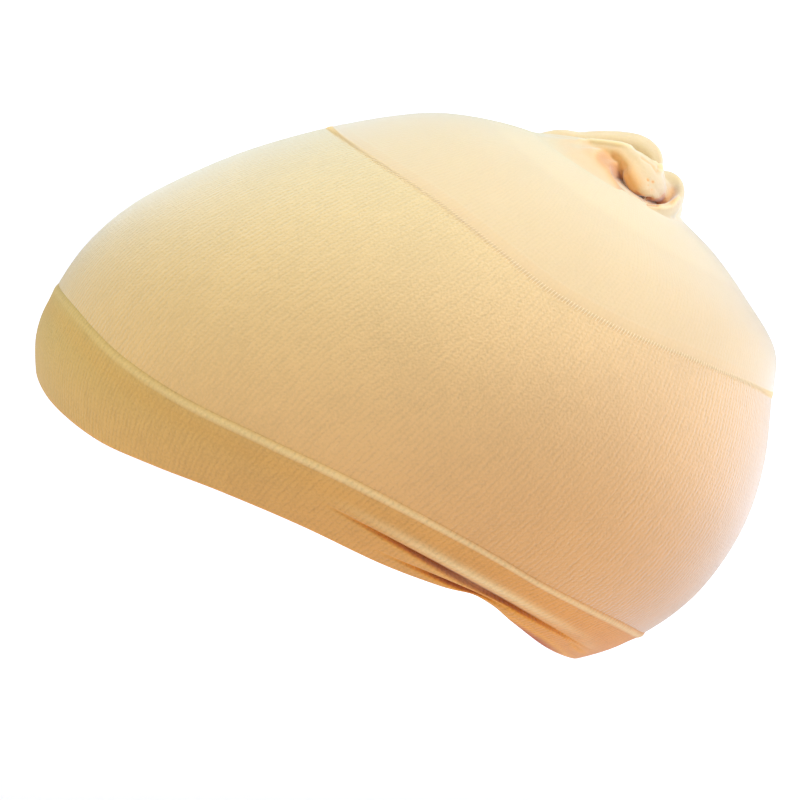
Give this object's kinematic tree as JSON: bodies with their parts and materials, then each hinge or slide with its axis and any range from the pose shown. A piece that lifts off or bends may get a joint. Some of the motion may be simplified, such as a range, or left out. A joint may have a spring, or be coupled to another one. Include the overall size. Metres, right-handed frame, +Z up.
{
  "type": "stocking wig cap",
  "caption": "Close stretch-knit cap in the form it has on a head, with a seamed crown panel, a creased elastic band and a gathered knot that closes the top.",
  "frame": {"origin": "where the top of the wearer's head meets the inside of the crown, on the middle plane", "axes": "+Z up with the wearer's head upright, -Y the way the wearer faces, +X the wearer's left; the cap's own axis leans back 31 degrees"},
  "size_m": [0.1516, 0.1946, 0.1428],
  "materials": {
    "crown_knit": "semi-sheer stretch nylon knit, matte with a soft sheen",
    "panel_knit": "finer, paler stretch nylon knit, matte with a soft sheen",
    "band_knit": "doubled elastic rib knit, matte",
    "knot_knit": "gathered layers of stretch nylon knit, matte with a soft sheen"
  },
  "bodies": {
    "root": {"crown": "crown_knit", "crown_panel": "panel_knit", "elastic_band": "band_knit", "gathered_knot": "knot_knit"}
  },
  "joints": []
}
